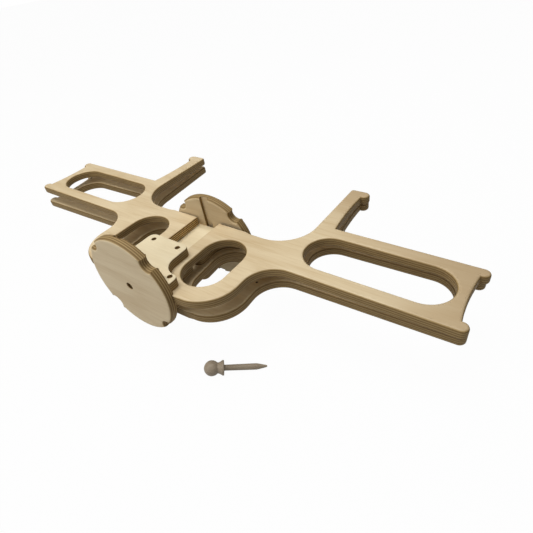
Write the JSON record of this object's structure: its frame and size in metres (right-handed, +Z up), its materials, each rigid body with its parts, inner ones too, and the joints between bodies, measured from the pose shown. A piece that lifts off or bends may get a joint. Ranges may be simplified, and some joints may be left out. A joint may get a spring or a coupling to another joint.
{
  "type": "skein winder",
  "caption": "Plywood yarn skein winder in two slotted halves, each with a disc, arms with hollow ends and branches, stacked flat beside a loose turned peg.",
  "frame": {"origin": "centre of the front disc's spindle bore on the disc's outer face", "axes": "+Y along the spindle from the front disc to the back disc, +X along the arms to the right, +Z up off the front half's top face"},
  "size_m": [0.6698, 0.3098, 0.1491],
  "materials": {
    "birch_ply": "satin",
    "pale_ply": "satin",
    "screw_steel": "satin",
    "turned_wood": "satin"
  },
  "bodies": {
    "front_half": {"upper_left_arm": "birch_ply", "upper_right_arm": "birch_ply", "front_disc": "birch_ply", "front_top_cheek": "pale_ply", "front_bottom_cheek": "pale_ply", "front_inner_screws": "screw_steel", "front_foot_screws": "screw_steel"},
    "back_half": {"lower_left_arm": "birch_ply", "lower_right_arm": "birch_ply", "back_disc": "birch_ply", "back_top_cheek": "pale_ply", "back_bottom_cheek": "pale_ply", "back_inner_screws": "screw_steel", "back_foot_screws": "screw_steel"},
    "peg": {"locking_peg": "turned_wood"}
  },
  "joints": [
    {"name": "back_pull", "type": "slide", "parent": "front_half", "child": "back_half", "axis": [0, 1, 0], "range_m": [0, 0.16]},
    {"name": "peg_lift", "type": "slide", "parent": "front_half", "child": "peg", "axis": [0, 0, 1], "range_m": [0, 0.08]}
  ]
}
